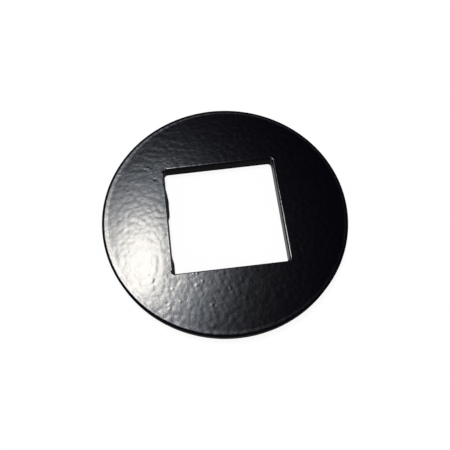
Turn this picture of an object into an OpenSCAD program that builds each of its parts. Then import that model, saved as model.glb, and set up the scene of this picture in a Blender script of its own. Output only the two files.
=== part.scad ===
// Flat round washer with a square hole: one piece of steel plate, cut out and
// then powder coated. The coating rounds every edge and stands a little proud
// along the rim. The washer lies on its lower face, with the origin at the
// middle of that face.

/* [Disc] */
// Diameter over the rim
disc_d = 55; // [44:0.5:90]
// Thickness between the flat faces, with the coating
plate_t = 3; // [2:0.1:6]
// Width of the bead that the coating has drawn up round the upper face, from the rim inwards
bead_w = 1.25; // [1:0.05:3]
// Height of the bead's crest over the flat face
bead_h = 0.035; // [0.02:0.005:0.1]
// Radius of the round from the crest of the bead into the upright rim
rim_r = 0.5; // [0.3:0.05:0.8]
// Radius along the lower edge of the rim
rim_foot_r = 0.25; // [0.1:0.05:0.6]

/* [Square hole] */
// Width of the hole across its flats
hole_w = 25.4; // [16:0.2:30]
// Radius of the upright corners
corner_r = 0.85; // [0.5:0.05:4]
// Radius of the lip where the hole opens in the upper face
lip_r = 0.3; // [0.15:0.05:0.7]
// Radius of the lip at the lower face
lip_foot_r = 0.15; // [0.1:0.05:0.6]

/* [Coating runs] */
// How far the thickened coating stands out of the hole's left wall
run_proud = 0.38; // [0.1:0.02:0.6]
// Height of a run, up from the lower lip
run_h = 1.6; // [0.9:0.1:1.7]
// Length of the run beside the middle of the wall
middle_run_len = 8; // [4:0.5:10]
// Distance of that run's middle from the centre line of the hole
middle_run_y = 4.2; // [-2:0.2:5]
// Length of the run that dies into the near corner
corner_run_len = 9.5; // [4:0.5:12]

/* [Hidden] */
$fn = 128;

disc_r = disc_d / 2;
half_hole = hole_w / 2;
corner_c = half_hole - corner_r;
// How far a cut runs on past the faces
over = 1;

// The bead is a large arc that ends level at its crest, where the rim's round begins
crest_x = disc_r - rim_r;
crest_z = plate_t + bead_h;
bead_run = bead_w - rim_r;
bead_r = (bead_run * bead_run + bead_h * bead_h) / (2 * bead_h);
bead_slope = asin(bead_run / bead_r);

// A point at an angle on a circle
function on_arc(c, r, a) = c + r * [cos(a), sin(a)];

// Fills the space between a round stretch and its chord
module arc_fill(c, r, a0, a1) {
    rise = on_arc([0, 0], r, (a0 + a1) / 2);
    intersection() {
        translate(c)
            circle(r);
        polygon([
            on_arc(c, r, a0),
            on_arc(c, r, a1),
            on_arc(c, r, a1) + rise,
            on_arc(c, r, a0) + rise
        ]);
    }
}

// Half of the section through the blank disc, from its axis to the rim
module disc_section() {
    foot_c = [disc_r - rim_foot_r, rim_foot_r];
    rim_c = [crest_x, crest_z - rim_r];
    bead_c = [crest_x, crest_z - bead_r];
    polygon([
        [0, 0],
        on_arc(foot_c, rim_foot_r, -90),
        on_arc(foot_c, rim_foot_r, 0),
        on_arc(rim_c, rim_r, 0),
        on_arc(rim_c, rim_r, 90),
        on_arc(bead_c, bead_r, 90 + bead_slope),
        [0, plate_t]
    ]);
    arc_fill(foot_c, rim_foot_r, -90, 0);
    arc_fill(rim_c, rim_r, 0, 90);
    arc_fill(bead_c, bead_r, 90, 90 + bead_slope);
}

// Direction of each of the four corners
function diagonal(q) = [cos(90 * q) - sin(90 * q), sin(90 * q) + cos(90 * q)];

// Plan of the hole: a square whose corners are rounded
module hole_plan() {
    polygon([for (q = [0:3]) each [
        on_arc(corner_c * diagonal(q), corner_r, 90 * q),
        on_arc(corner_c * diagonal(q), corner_r, 90 * q + 90)
    ]]);
    for (q = [0:3])
        arc_fill(corner_c * diagonal(q), corner_r, 90 * q, 90 * q + 90);
}

// Section of the flare that leaves a rounded lip of radius r, drawn from the corner's axis
module flare_section(r) {
    mouth = corner_r + r;
    difference() {
        polygon([[0, -r], [corner_r, -r], [mouth, 0], [mouth, over], [0, over]]);
        arc_fill([mouth, -r], r, 90, 180);
    }
}

// The flare right round the hole, opening upwards from the height z = 0
module flare(r) {
    for (q = [0:3])
        rotate([0, 0, 90 * q]) {
            translate([corner_c, corner_c, 0])
                rotate_extrude(angle = 90)
                    flare_section(r);
            translate([corner_c, corner_c, 0])
                rotate([90, 0, 0])
                    linear_extrude(2 * corner_c)
                        flare_section(r);
        }
}

module hole_cut() {
    translate([0, 0, -over])
        linear_extrude(plate_t + 2 * over)
            hole_plan();
    translate([0, 0, plate_t])
        flare(lip_r);
    mirror([0, 0, 1])
        flare(lip_foot_r);
}

// A long low swelling of coating on the left wall, with rounded upper and lower edges
module coating_run(len, y) {
    r = len * len / (8 * run_proud) + run_proud / 2;
    low_c = [r - run_proud, lip_foot_r + run_proud];
    high_c = [r - run_proud, lip_foot_r + run_h - run_proud];
    intersection() {
        translate([run_proud - half_hole - r, y, 0])
            rotate_extrude() {
                polygon([
                    [0, lip_foot_r],
                    on_arc(low_c, run_proud, -90),
                    on_arc(low_c, run_proud, 0),
                    on_arc(high_c, run_proud, 0),
                    on_arc(high_c, run_proud, 90),
                    [0, lip_foot_r + run_h]
                ]);
                arc_fill(low_c, run_proud, -90, 0);
                arc_fill(high_c, run_proud, 0, 90);
            }
        translate([-half_hole - over, -half_hole - over, 0])
            cube([2 * over, hole_w + over, plate_t]);
    }
}

module washer() {
    color([0.03, 0.03, 0.035]) {
        difference() {
            rotate_extrude()
                disc_section();
            hole_cut();
        }
        coating_run(middle_run_len, middle_run_y);
        coating_run(corner_run_len, -half_hole);
    }
}

washer();
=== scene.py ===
import math

import bmesh
import bpy
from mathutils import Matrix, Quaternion, Vector


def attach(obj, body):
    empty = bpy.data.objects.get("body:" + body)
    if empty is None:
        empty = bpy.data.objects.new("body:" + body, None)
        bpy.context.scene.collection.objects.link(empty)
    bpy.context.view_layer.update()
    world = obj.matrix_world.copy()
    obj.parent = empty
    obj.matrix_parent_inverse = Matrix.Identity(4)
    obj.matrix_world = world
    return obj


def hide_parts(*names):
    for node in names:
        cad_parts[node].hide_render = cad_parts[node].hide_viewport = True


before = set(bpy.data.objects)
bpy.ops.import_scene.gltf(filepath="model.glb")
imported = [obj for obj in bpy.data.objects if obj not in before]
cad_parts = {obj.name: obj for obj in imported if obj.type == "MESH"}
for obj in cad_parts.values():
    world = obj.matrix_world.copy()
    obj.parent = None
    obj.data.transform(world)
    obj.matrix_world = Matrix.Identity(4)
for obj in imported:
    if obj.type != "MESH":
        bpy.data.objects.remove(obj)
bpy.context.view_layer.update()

MM = 0.001

# Sizes, in millimetres

# The plate and its hole, as in the part's source
DISC_R = 27.5
PLATE_T = 3.0
RIM_FOOT_R = 0.25
HALF_HOLE = 12.7
CORNER_R = 0.85
LIP_FOOT_R = 0.15

# The bead of coating round the upper face, and the round that rolls over from its crest
BEAD_W = 1.25
BEAD_H = 0.029
RIM_R = 0.55
# The bead isn't even: the middles of its inner edge and of its crest stand off the axis
EDGE_MIDDLE = Vector((0.27, 0, 0))
CREST_MIDDLE = Vector((0.04, -0.16, 0))
# How much higher the crest is on the left than at the middle
BEAD_TILT = 0.005

# Widest that the lip of the hole gets
LIP_R = 0.42
# The lip, side by side: the way out of the hole, both ends of the stretch along that side, how
# far out the lip begins, how far out it rounds over, and its slope before that
LIPS = (
    ((1, 0), -13, 0, 0.42, 0.294, 0.165),
    ((1, 0), 0, 4, 0.38, 0.266, 0.165),
    ((1, 0), 4, 13, 0.34, 0.238, 0.165),
    ((0, 1), -13, 13, 0.32, 0.13, 0.125),
    ((-1, 0), -13, 13, 0.17, 0.17, 0),
    ((0, -1), -13, 13, 0.28, 0.28, 0),
)

# Steps of the mesh

# Along one side of the hole, round one of its corners, and right round the washer
SIDE_STEPS = 172
CORNER_STEPS = 8
TURN_STEPS = 4 * (SIDE_STEPS + CORNER_STEPS)
# Up the bead, over its roll, down the upright rim, and round a lower edge
BEAD_STEPS = 8
ROLL_STEPS = 7
RIM_ROWS = 6
FOOT_STEPS = 4
# Over the lip, across the upper face and the lower one, and down the wall of the hole
LIP_STEPS = 12
UPPER_ROWS = 64
LOWER_ROWS = 14
WALL_ROWS = 12

# How near points are, in millimetres, that count as level, as one ring, or as one point
LEVEL = 0.01
RING = 0.0015
MERGE = 0.002
# An edge longer than this, in millimetres, isn't cut into steps yet
UNCUT = 5
# An edge is sharp where its two faces turn by more than this, in radians
SHARP_TURN = 1


# Modelling


def deselect_all():
    if bpy.context.object and bpy.context.object.mode != "OBJECT":
        bpy.ops.object.mode_set(mode="OBJECT")
    bpy.ops.object.select_all(action="DESELECT")


def edit(thing):
    """Opens an object for edit mode's operators."""
    bpy.context.view_layer.objects.active = thing
    bpy.ops.object.mode_set(mode="EDIT")


def select_where(kind, wanted):
    """Selects the vertices, edges or faces of the mesh in edit mode that the test wants."""
    mode = {"verts": "VERT", "edges": "EDGE", "faces": "FACE"}[kind]
    bpy.ops.mesh.select_mode(type=mode)
    bpy.ops.mesh.select_all(action="DESELECT")
    mesh = bpy.context.edit_object.data
    shape = bmesh.from_edit_mesh(mesh)
    for item in getattr(shape, kind):
        if not item.hide and wanted(item):
            item.select_set(True)
    shape.select_flush_mode()
    bmesh.update_edit_mesh(mesh)


def mm(size):
    return size / MM


def uncut(e):
    return e.calc_length() > UNCUT * MM


def add_hole_outline(z):
    """The outline of the square hole, with rounded corners and an even run of points."""
    deselect_all()
    bpy.ops.mesh.primitive_plane_add(size=2 * HALF_HOLE * MM, location=(0, 0, z * MM))
    outline = bpy.context.object
    bpy.ops.object.transform_apply(location=True, rotation=True, scale=True)
    bpy.ops.object.mode_set(mode="EDIT")
    bpy.ops.mesh.select_all(action="SELECT")
    bpy.ops.mesh.bevel(
        affect="VERTICES",
        offset_type="PERCENT",
        offset_pct=100 * CORNER_R / (2 * HALF_HOLE),
        segments=CORNER_STEPS,
    )
    for cuts in (1, SIDE_STEPS // 2 - 1):
        select_where("edges", uncut)
        bpy.ops.mesh.subdivide(number_cuts=cuts)
    bpy.ops.mesh.select_mode(type="FACE")
    bpy.ops.mesh.select_all(action="SELECT")
    bpy.ops.mesh.delete(type="ONLY_FACE")
    bpy.ops.object.mode_set(mode="OBJECT")
    return outline


def outer_section():
    """Rings from the foot of the bead to the underside: radius, height, middle, tilt."""
    crest_x = DISC_R - RIM_R
    roll_z = PLATE_T + BEAD_H - RIM_R
    on_axis = Vector((0, 0, 0))
    rings = []
    for i in range(BEAD_STEPS):
        share = i / BEAD_STEPS
        rise = (1 - math.cos(math.pi * share)) / 2
        x = crest_x - (BEAD_W - RIM_R) * (1 - share)
        middle = EDGE_MIDDLE.lerp(CREST_MIDDLE, share)
        rings.append((x, PLATE_T + BEAD_H * rise, middle, BEAD_TILT * rise))
    for i in range(ROLL_STEPS + 1):
        share = 1 - i / ROLL_STEPS
        turn = math.radians(90 * share)
        x = crest_x + RIM_R * math.cos(turn)
        z = roll_z + RIM_R * math.sin(turn)
        rings.append((x, z, CREST_MIDDLE * share, BEAD_TILT * share))
    for i in range(1, RIM_ROWS + 1):
        z = roll_z + (RIM_FOOT_R - roll_z) * i / RIM_ROWS
        rings.append((DISC_R, z, on_axis, 0))
    for i in range(1, FOOT_STEPS + 1):
        turn = math.radians(90 * i / FOOT_STEPS)
        x = DISC_R - RIM_FOOT_R + RIM_FOOT_R * math.cos(turn)
        rings.append((x, RIM_FOOT_R - RIM_FOOT_R * math.sin(turn), on_axis, 0))
    return rings


def add_rim():
    """The bead, the rim and its foot: one circle drawn out along the section."""
    rings = outer_section()
    x, z, middle, tilt = rings[0]
    deselect_all()
    bpy.ops.mesh.primitive_circle_add(
        vertices=TURN_STEPS, radius=x * MM, location=(middle + Vector((0, 0, z))) * MM
    )
    rim = bpy.context.object
    bpy.ops.object.transform_apply(location=True, rotation=True, scale=True)
    bpy.ops.object.mode_set(mode="EDIT")
    bpy.ops.mesh.select_mode(type="EDGE")
    bpy.ops.mesh.select_all(action="SELECT")
    for next_x, next_z, next_middle, next_tilt in rings[1:]:
        step = next_middle - middle + Vector((0, 0, next_z - z))
        centre = (next_middle + Vector((0, 0, next_z))) * MM
        bpy.ops.mesh.extrude_edges_move(TRANSFORM_OT_translate={"value": step * MM})
        grow = next_x / x
        bpy.ops.transform.resize(value=(grow, grow, 1), center_override=centre)
        if next_tilt != tilt:
            turn = (tilt - next_tilt) / DISC_R
            bpy.ops.transform.rotate(value=turn, orient_axis="Y", center_override=centre)
        x, z, middle, tilt = next_x, next_z, next_middle, next_tilt
    bpy.ops.object.mode_set(mode="OBJECT")
    return rim


def add_wall():
    """The upright wall of the hole, drawn down from its outline on the upper face."""
    wall = add_hole_outline(PLATE_T)
    bpy.ops.object.mode_set(mode="EDIT")
    bpy.ops.mesh.select_mode(type="EDGE")
    bpy.ops.mesh.select_all(action="SELECT")
    bpy.ops.mesh.extrude_edges_move(TRANSFORM_OT_translate={"value": (0, 0, -PLATE_T * MM)})
    bpy.ops.object.mode_set(mode="OBJECT")
    return wall


def level_at(e, z):
    """Whether both ends of an edge are at a height."""
    return all(abs(mm(v.co.z) - z) < LEVEL for v in e.verts)


def open_edge_at(z):
    """Tests for an edge with one face, at a height."""
    return lambda e: len(e.link_faces) == 1 and level_at(e, z)


def sharp_edge_at(z):
    """Tests for an edge between a flat face and the wall of the hole, at a height."""

    def test(e):
        return level_at(e, z) and len(e.link_faces) == 2 and e.calc_face_angle(0) > SHARP_TURN

    return test


def from_hole(v):
    """How far a point is outside the hole's outline, in millimetres."""
    corner = HALF_HOLE - CORNER_R
    x = max(abs(mm(v.co.x)) - corner, 0)
    y = max(abs(mm(v.co.y)) - corner, 0)
    return math.hypot(x, y) - CORNER_R


def round_edges(z, radius, steps):
    select_where("edges", sharp_edge_at(z))
    bpy.ops.mesh.bevel(
        affect="EDGES",
        offset_type="OFFSET",
        offset=radius * MM,
        segments=steps,
        profile=0.5,
        clamp_overlap=False,
        loop_slide=False,
    )


def beside_hole(way, low, high):
    """Tests for a point on one side of the hole, within a stretch of that side."""

    def test(v):
        out = v.co.x * way[0] + v.co.y * way[1]
        along = v.co.x * way[1] + v.co.y * way[0]
        return out > abs(along) and low <= mm(along) < high

    return test


def shape_lip(side, start, band, slope):
    """Lets the lip lean into the hole from one distance and round over from another."""
    for k in range(1, LIP_STEPS):
        turn = math.radians(90 * k / LIP_STEPS)
        out = LIP_R * (1 - math.sin(turn))
        down = LIP_R * (1 - math.cos(turn))
        wanted = slope * max(start - out, 0)
        if out < band:
            wanted += start * (1 - slope) * (1 - math.sqrt(1 - (1 - out / band) ** 2))

        def in_ring(v):
            level = abs(PLATE_T - mm(v.co.z) - down) < LEVEL
            return level and side(v) and abs(from_hole(v) - out) < RING

        select_where("verts", in_ring)
        bpy.ops.transform.translate(value=(0, 0, (down - wanted) * MM))


def cut_rows(wanted, rows):
    """Cuts the long faces that the chosen edges cross into rows."""
    select_where("edges", wanted)
    bpy.ops.mesh.subdivide(number_cuts=rows - 1)


def make_washer():
    wall = add_wall()
    rim = add_rim()
    deselect_all()
    wall.select_set(True)
    rim.select_set(True)
    bpy.context.view_layer.objects.active = rim
    bpy.ops.object.join()
    washer = bpy.context.object
    washer.name = "coated_washer"
    bpy.ops.object.mode_set(mode="EDIT")
    for z in (PLATE_T, 0):
        select_where("edges", open_edge_at(z))
        bpy.ops.mesh.bridge_edge_loops()
    bpy.ops.mesh.select_all(action="SELECT")
    bpy.ops.mesh.normals_make_consistent(inside=False)
    round_edges(PLATE_T, LIP_R, LIP_STEPS)
    round_edges(0, LIP_FOOT_R, FOOT_STEPS)
    for way, low, high, start, band, slope in LIPS:
        shape_lip(beside_hole(way, low, high), start, band, slope)
    halfway = PLATE_T / 2 * MM
    cut_rows(lambda e: uncut(e) and e.verts[0].co.z > halfway, UPPER_ROWS)
    cut_rows(lambda e: uncut(e) and e.verts[0].co.z < halfway, LOWER_ROWS)
    cut_rows(lambda e: abs(e.verts[0].co.z - e.verts[1].co.z) > halfway, WALL_ROWS)
    bpy.ops.mesh.select_all(action="SELECT")
    bpy.ops.mesh.remove_doubles(threshold=MERGE * MM)
    bpy.ops.mesh.normals_make_consistent(inside=False)
    bpy.ops.object.mode_set(mode="OBJECT")
    bpy.ops.object.shade_smooth()
    return washer


# Coating: runs, marks and waves in the mesh, in millimetres

# The part of the left wall that the runs draw along, as both corners of a box
RUN_SKIN = ((-13, -12.8, 0.2), (-12.6, 12.8, 2.5))
# Both ends, across and in height, of the box of points that is drawn out
RUN_ACROSS = (-HALF_HOLE - 0.05, -HALF_HOLE + 0.8)
RUN_HEIGHTS = (0.6, 1.3)
# The runs themselves: both ends of a stretch, how far it stands out, and its reach
RUNS = (
    (1.4, 7.8, 0.15, 0.9),
    (1.5, 7.0, 0.10, 0.9),
    (1.9, 6.0, 0.10, 0.9),
    (2.6, 5.4, 0.05, 1.0),
    (5.0, 8.8, 0.05, 1.0),
    (-12.8, -9.1, 0.18, 1.0),
    (-12.8, -9.8, 0.12, 0.9),
    (-12.8, -8.2, 0.09, 1.0),
)

# A jog in the left lip, and a soft dip of the face along it: both corners of the box of points
# that is moved, the move, its reach, and how it fades
LEFT_LIP = (
    ((-13.3, 8.9, 2.6), (-12.6, 9.9, 3.0), (-0.2, 0, 0), 1.2, "SMOOTH"),
    ((-13.1, -14, 2.9), (-12.7, 12.8, 3.1), (0, 0, -0.01), 3.0, "SHARP"),
)

# Small marks in the coat: place, height of the middle (a pit where it is negative), and reach
MARKS = (
    (-14.86, 10.55, -0.025, 0.5),
    (-14.86, 10.95, 0.007, 0.4),
    (-15.5, 13.1, 0.011, 0.5),
    (-15.45, 12.5, 0.011, 0.45),
    (-16.1, 13.6, 0.01, 0.45),
    (-16.75, 13.7, 0.011, 0.45),
    (-16.9, 13.2, -0.011, 0.45),
    (-22.7, 12.8, 0.011, 0.5),
    (-11.64, -18.9, 0.013, 0.5),
    (-13.93, -20.1, 0.013, 0.45),
    (-13.1, -16.0, 0.013, 0.5),
    (-7.9, -15.8, 0.013, 0.5),
    (-6.5, -15.0, 0.013, 0.45),
    (-0.9, -17.3, 0.011, 0.45),
    (2.1, -19.8, 0.013, 0.45),
    (0.9, -24.6, 0.013, 0.45),
    (-5.2, -20.4, 0.013, 0.45),
    (-4.6, -20.6, -0.013, 0.45),
    (-14.4, -19.0, -0.015, 0.45),
    (-16.7, -14.0, -0.013, 0.45),
    (-16.6, -13.5, -0.013, 0.45),
    (-17.5, -12.4, -0.013, 0.45),
    (-8.2, -13.1, 0.014, 0.35),
    (-7.5, -13.15, 0.014, 0.35),
)
# Broad swellings of the upper face: place, height and reach
SWELLINGS = (
    (-16.7, -13, 0.02, 5.5),
    (-20.4, -17.6, 0.018, 6.0),
)
# Points this near to a mark's middle, and above this height, are moved
MARK_R = 0.13
MARK_Z = 2.9

# The coat is calm near the rim on one side: the way there, how near to that way and how far out
# it grows calm, and the share of the waves that is lost
CALM_WAY = Vector((-0.985, 0.174))
CALM_SPREAD = (0.88, 0.97)
CALM_BAND = (22.5, 24.5)
CALM = 0.4


def pull(wanted, by, reach, falloff="SMOOTH"):
    """Moves the chosen points and draws the coat round them along."""
    select_where("verts", wanted)
    bpy.ops.transform.translate(
        value=tuple(part * MM for part in by),
        use_proportional_edit=True,
        proportional_edit_falloff=falloff,
        proportional_size=reach * MM,
    )


def in_box(low, high):
    """Tests for a point inside a box."""
    return lambda v: all(a <= mm(c) <= b for a, c, b in zip(low, v.co, high))


def add_runs(washer):
    """The two low runs of thick coating on the left wall of the hole."""
    edit(washer)
    select_where("verts", in_box(*RUN_SKIN))
    bpy.ops.mesh.hide(unselected=True)
    for start, end, proud, reach in RUNS:
        low, high = zip(RUN_ACROSS, (start, end), RUN_HEIGHTS)
        pull(in_box(low, high), (proud, 0, 0), reach)
    bpy.ops.mesh.reveal(select=False)
    for low, high, by, reach, falloff in LEFT_LIP:
        pull(in_box(low, high), by, reach, falloff)
    bpy.ops.object.mode_set(mode="OBJECT")


def add_marks(washer):
    """Grains, pits and pimples left where the coat has flowed round dust, and swellings."""
    edit(washer)
    for x, y, height, reach in MARKS + SWELLINGS:
        spot = Vector((x, y, PLATE_T))

        def near(v):
            return v.co.z > MARK_Z * MM and (mm(v.co) - spot).xy.length < MARK_R

        pull(near, (0, 0, height), reach)
    bpy.ops.object.mode_set(mode="OBJECT")


def soft_step(value, low, high):
    """Runs softly from 0 at one value to 1 at another."""
    t = min(max((value - low) / (high - low), 0), 1)
    return t * t * (3 - 2 * t)


def mark_lively(washer):
    """Notes how far each point takes part in the waves: less where the coat is calm."""
    lively = washer.vertex_groups.new(name="lively")
    for v in washer.data.vertices:
        out = mm(v.co).xy.length
        along = mm(v.co).xy.dot(CALM_WAY) / out
        calm = CALM * soft_step(out, *CALM_BAND) * soft_step(along, *CALM_SPREAD)
        lively.add([v.index], 1 - calm, "REPLACE")


def clouds(depth=0):
    """Soft waves, with a finer layer in them for each step of depth."""
    pattern = bpy.data.textures.new("clouds", "CLOUDS")
    pattern.noise_basis = "IMPROVED_PERLIN"
    pattern.noise_depth = depth
    return pattern


def pimples():
    """Round bumps side by side."""
    pattern = bpy.data.textures.new("pimples", "VORONOI")
    pattern.distance_metric = "DISTANCE_SQUARED"
    return pattern


def wave(washer, name, pattern, size, height):
    """Lifts and lowers the surface by a pattern of a size and a height."""
    pattern.noise_scale = size * MM
    lift = washer.modifiers.new(name, "DISPLACE")
    lift.vertex_group = "lively"
    lift.texture = pattern
    lift.texture_coords = "LOCAL"
    lift.strength = height * MM
    lift.mid_level = 0.5
    bpy.context.view_layer.objects.active = washer
    bpy.ops.object.modifier_apply(modifier=name)


def add_waves(washer):
    """The waves of the coat, each by its size and its height."""
    mark_lively(washer)
    wave(washer, "long waves", clouds(), size=7, height=0.01)
    wave(washer, "broad waves", clouds(), size=2.3, height=0.004)
    wave(washer, "orange peel", clouds(depth=1), size=1.1, height=0.0175)
    wave(washer, "pimples", pimples(), size=1.1, height=-0.012)


# Materials

# The gloss coat: its colour, its index, its roughness on the flat, what the mottle changes of
# that, and what is added on upright walls
GLOSS_COLOUR = (0.0003, 0.0001, 0.0016, 1)
GLOSS_INDEX = 1.33
GLOSS_ROUGH = 0.173
MOTTLE = 0.03
WALL_ROUGH = 0.25
# Spots of the mottle and of the fine grain in a metre, and the depth of the grain in metres
MOTTLE_SCALE = 900.0
GRAIN_SCALE = 2900.0
GRAIN_DEPTH = 4.6e-6

# Painted shade: a matt near-black mixed over the gloss where the walls of the hole and the roll
# of the rim are to look shaded, with its colour and roughness
PAINTED_SHADE_COLOUR = (0.003, 0.003, 0.004, 1)
PAINTED_SHADE_ROUGH = 0.6
# Share of painted shade on each wall of the hole, with what the far one loses in the middle of
# its height and what the right one gains at its far end
FAR_SHADE = 0.94
FAR_MIDDLE = 0.07
LEFT_SHADE = 0.75
RIGHT_SHADE = 0.06
RIGHT_FAR_END = 0.6
NEAR_SHADE = 0.6
# Share of painted shade on the rim, what its upright part loses away from the near side, and
# what the middle of its height loses at the near side
RIM_SHADE = 0.99
RIM_UPRIGHT = 0.35
RIM_MIDDLE = 0.17
# From how steep to how flat the painted shade fades out, as the square of the normal's upward
# part, over the edges of the hole and over the roll of the rim
HOLE_FADE = (0.5, 0.94)
ROLL_FADE = (0.88, 0.982)
# Distances in millimetres between which the rim begins, and the walls of the hole, with the
# left one nearer because of its runs
RIM_FROM = (26.4, 26.6)
WALL_FROM = (12.35, 12.5)
LEFT_WALL_FROM = (12.1, 12.4)
# Distances in millimetres between which the far end of the right wall begins, and the near
# side of the rim
FAR_END_FROM = (10.1, 10.7)
NEAR_SIDE_FROM = (8, 16)
# Heights in millimetres between which the middle of a wall begins, and between which it ends,
# the same for what is upright enough to be rougher, and where the rim's upright part ends
MIDDLE_FROM = (0.3, 1.1)
MIDDLE_TO = (1.7, 2.5)
ROUGH_FROM = (0.1, 0.3)
ROUGH_TO = (2.5, 2.8)
UPRIGHT_TO = (1.9, 2.5)

WHITE = (1, 1, 1, 1)
PAPER = (0.98, 0.98, 0.98, 1)
# How much of the paper is plain white where the camera or the gloss sees it
PAPER_GLOW = 0.92


class Link:
    """A socket of a material, with the sums that are written on it."""

    def __init__(self, paint, socket):
        self.paint = paint
        self.socket = socket

    def sum_with(self, operation, *others):
        return self.paint.node("ShaderNodeMath", {"operation": operation}, (self, *others))

    def __add__(self, other):
        return self.sum_with("ADD", other)

    __radd__ = __add__

    def __mul__(self, other):
        if isinstance(other, tuple):
            settings = {"operation": "MULTIPLY"}
            return self.paint.node("ShaderNodeVectorMath", settings, (self, other))
        return self.sum_with("MULTIPLY", other)

    __rmul__ = __mul__

    def __sub__(self, other):
        return self.sum_with("SUBTRACT", other)

    def __rsub__(self, other):
        return self.paint.node("ShaderNodeMath", {"operation": "SUBTRACT"}, (other, self))

    def __neg__(self):
        return 0 - self

    def larger(self, other):
        return self.sum_with("MAXIMUM", other)

    def step(self, low, high):
        """Runs softly from 0 at one value to 1 at another."""
        settings = {"interpolation_type": "SMOOTHSTEP"}
        return self.paint.node("ShaderNodeMapRange", settings, (self, low, high, 0.0, 1.0))

    def step_mm(self, low, high):
        """Runs softly from 0 at one distance to 1 at another, in millimetres."""
        return self.step(low * MM, high * MM)


class Paint:
    """A material or a world whose nodes are added one by one."""

    def __init__(self, tree):
        self.tree = tree
        tree.nodes.clear()

    def node(self, kind, settings=None, values=(), out=0):
        made = self.tree.nodes.new(kind)
        for name, setting in (settings or {}).items():
            setattr(made, name, setting)
        pairs = values.items() if isinstance(values, dict) else enumerate(values)
        for place, value in pairs:
            if isinstance(value, Link):
                self.tree.links.new(value.socket, made.inputs[place])
            else:
                made.inputs[place].default_value = value
        return Link(self, made.outputs[out]) if made.outputs else None

    def part(self, vector, axis):
        """One part of a vector: X, Y or Z."""
        return self.node("ShaderNodeSeparateXYZ", values=(vector,), out=axis)

    def noise(self, place, scale, detail):
        values = {"Vector": place, "Scale": scale, "Detail": detail, "Roughness": 0.5}
        return self.node("ShaderNodeTexNoise", values=values)


def new_material(name):
    material = bpy.data.materials.new(name)
    material.use_nodes = True
    return material, Paint(material.node_tree)


def painted_shade_share(paint, place):
    """Share of painted shade, a matt near-black over the gloss: on the rolls of the edges and
    on the walls.
    """
    side, depth, height = (paint.part(place, axis) for axis in "XYZ")
    across = place * (1, 1, 0)
    from_axis = paint.node("ShaderNodeVectorMath", {"operation": "LENGTH"}, (across,), "Value")
    up = paint.part(paint.node("ShaderNodeTexCoord", out="Normal"), "Z")
    flat = up * up
    steep = 1 - flat.step(*HOLE_FADE)
    rolled = 1 - flat.step(*ROLL_FADE)
    outer = from_axis.step_mm(*RIM_FROM)
    middle = height.step_mm(*MIDDLE_FROM) * (1 - height.step_mm(*MIDDLE_TO))
    far_wall = depth.step_mm(*WALL_FROM) * (FAR_SHADE - middle * FAR_MIDDLE)
    near_wall = (-depth).step_mm(*WALL_FROM) * NEAR_SHADE
    left_wall = (-side).step_mm(*LEFT_WALL_FROM) * LEFT_SHADE
    far_end = depth.step_mm(*FAR_END_FROM) * RIGHT_FAR_END
    right_wall = side.step_mm(*WALL_FROM) * (RIGHT_SHADE + far_end)
    inner = (far_wall + near_wall).larger(left_wall).larger(right_wall)
    near_rim = (-depth).step_mm(*NEAR_SIDE_FROM)
    upright = 1 - height.step_mm(*UPRIGHT_TO)
    rim = RIM_SHADE - upright * (1 - near_rim) * RIM_UPRIGHT - middle * near_rim * RIM_MIDDLE
    return outer * rolled * rim + (1 - outer) * steep * inner


def powder_coat():
    material, paint = new_material("powder_coat")
    place = paint.node("ShaderNodeTexCoord", out="Object")
    height = paint.part(place, "Z")
    wall = height.step_mm(*ROUGH_FROM) * (1 - height.step_mm(*ROUGH_TO))
    mottle = paint.noise(place, MOTTLE_SCALE, 2.0) - 0.5
    fine = paint.noise(place, GRAIN_SCALE, 1.0)
    grain = {"Strength": 1.0, "Distance": GRAIN_DEPTH, "Height": fine}
    gloss = {
        "Base Color": GLOSS_COLOUR,
        "Roughness": GLOSS_ROUGH + mottle * MOTTLE + wall * WALL_ROUGH,
        "IOR": GLOSS_INDEX,
        "Normal": paint.node("ShaderNodeBump", values=grain),
    }
    # Painted shade: a near-black with no shine and a matt roughness, mixed over the gloss
    painted_shade_settings = {"Base Color": PAINTED_SHADE_COLOUR, "Roughness": PAINTED_SHADE_ROUGH, "Specular IOR Level": 0.0}
    gloss_bsdf = paint.node("ShaderNodeBsdfPrincipled", values=gloss)
    painted_shade_bsdf = paint.node("ShaderNodeBsdfPrincipled", values=painted_shade_settings)
    # How much painted shade is mixed over the gloss at each point
    share = painted_shade_share(paint, place)
    coat = paint.node("ShaderNodeMixShader", values=(share, gloss_bsdf, painted_shade_bsdf))
    paint.node("ShaderNodeOutputMaterial", values=(coat,))
    return material


def floor_paper():
    """White paper that keeps a shadow, and that lets the underside show from below."""
    material, paint = new_material("floor_paper")
    sheet = paint.node("ShaderNodeBsdfDiffuse", values=(PAPER,))
    white = paint.node("ShaderNodeEmission", values=(WHITE, 1.0))
    camera, glossy, through = (
        paint.node("ShaderNodeLightPath", out=f"Is {ray} Ray")
        for ray in ("Camera", "Glossy", "Transmission")
    )
    share = (camera + glossy + through) * PAPER_GLOW
    above = paint.node("ShaderNodeMixShader", values=(share, sheet, white))
    below = paint.node("ShaderNodeBsdfTransparent")
    back = paint.node("ShaderNodeNewGeometry", out="Backfacing")
    both = paint.node("ShaderNodeMixShader", values=(back, above, below))
    paint.node("ShaderNodeOutputMaterial", values=(both,))
    return material


# The washer

washer = make_washer()
add_runs(washer)
add_marks(washer)
add_waves(washer)
washer.data.materials.clear()
washer.data.materials.append(powder_coat())
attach(washer, "root")
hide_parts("washer")

# Floor, light and camera

# In metres: the floor's width, and its height, just under the lowest wave of the coat
FLOOR_SIZE = 8
FLOOR_Z = -0.02 * MM

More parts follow.
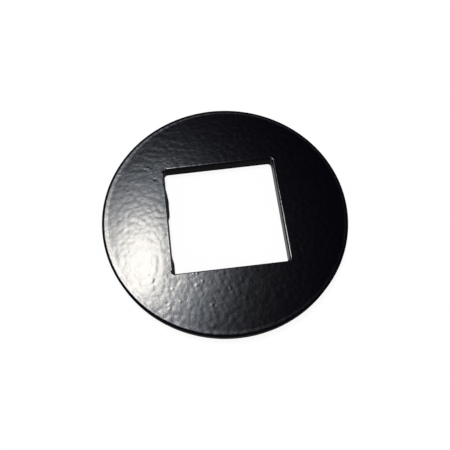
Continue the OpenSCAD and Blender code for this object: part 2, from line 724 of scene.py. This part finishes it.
# Lamps: name, place, width and height in metres, power, turn on its own axis, and colour
LAMPS = (
    ("window", (-0.3376, 0.7885, 2.3467), 0.327, 0.539, 30.3, -0.581, (1.0, 0.942, 0.855)),
    ("curtain", (-0.3799, 0.7186, 2.3633), 0.822, 1.226, 22.0, -0.936, (0.71, 0.83, 1.0)),
)

# The tent of light round the washer is open and dark towards the lamps: its glow, the glow of
# the opening, the way to the opening's middle, and the angles where its edge begins and ends
TENT_GLOW = 0.6
OPENING_GLOW = 0.005
OPENING_WAY = Vector((0.0, 0.38, 0.925))
OPENING_FROM = 36
OPENING_TO = 48

# The camera: its place, the point that it faces, in metres, and its turn in degrees
CAMERA_PLACE = (-0.0060583, -0.0432449, 0.1002877)
CAMERA_TARGET = (-0.0038242, -0.0084606, 0.003)
CAMERA_TURN = -3.1832
# Its focal length and the width of its picture in millimetres, how far the picture is moved,
# in widths, and how near it sees, in metres
FOCAL_LENGTH = 38.072
PICTURE_WIDTH = 36
PICTURE_SHIFT = (0.0294, 0.0573)
SEES_FROM = 0.001


def face_towards(thing, target, turn):
    """Faces a lamp or the camera towards a point, turned on its own axis."""
    away = Vector(target) - thing.location
    thing.rotation_mode = "QUATERNION"
    thing.rotation_quaternion = away.to_track_quat("-Z", "Y") @ Quaternion((0, 0, 1), turn)


def add_lamp(name, place, width, height, power, turn, colour):
    """A soft oval lamp that faces the washer."""
    light = bpy.data.lights.new(name, "AREA")
    light.shape = "ELLIPSE"
    light.size = width
    light.size_y = height
    light.energy = power
    light.color = colour
    lamp = bpy.data.objects.new(name, light)
    bpy.context.scene.collection.objects.link(lamp)
    lamp.location = place
    face_towards(lamp, (0, 0, 0), turn)


def add_tent():
    """Even light from all round, which the camera sees as white."""
    world = bpy.data.worlds.new("tent")
    bpy.context.scene.world = world
    world.use_nodes = True
    tent = Paint(world.node_tree)
    toward = tent.node("ShaderNodeTexCoord", out="Generated")
    pair = (toward, OPENING_WAY.normalized())
    near = tent.node("ShaderNodeVectorMath", {"operation": "DOT_PRODUCT"}, pair, "Value")
    edge, inside = (math.cos(math.radians(angle)) for angle in (OPENING_TO, OPENING_FROM))
    glow = TENT_GLOW - near.step(edge, inside) * (TENT_GLOW - OPENING_GLOW)
    glow = glow.larger(tent.node("ShaderNodeLightPath", out="Is Camera Ray"))
    shine = tent.node("ShaderNodeBackground", values=(WHITE, glow))
    tent.node("ShaderNodeOutputWorld", values=(shine,))


def add_camera():
    lens = bpy.data.cameras.new("camera")
    lens.lens = FOCAL_LENGTH
    lens.sensor_width = PICTURE_WIDTH
    lens.clip_start = SEES_FROM
    lens.shift_x, lens.shift_y = PICTURE_SHIFT
    camera = bpy.data.objects.new("camera", lens)
    bpy.context.scene.collection.objects.link(camera)
    camera.location = CAMERA_PLACE
    face_towards(camera, CAMERA_TARGET, math.radians(CAMERA_TURN))
    bpy.context.scene.camera = camera


deselect_all()
bpy.ops.mesh.primitive_plane_add(size=FLOOR_SIZE, location=(0, 0, FLOOR_Z))
floor = bpy.context.object
floor.name = "floor"
floor.data.materials.append(floor_paper())

for lamp in LAMPS:
    add_lamp(*lamp)
add_tent()
add_camera()
bpy.context.scene.view_settings.view_transform = "Standard"
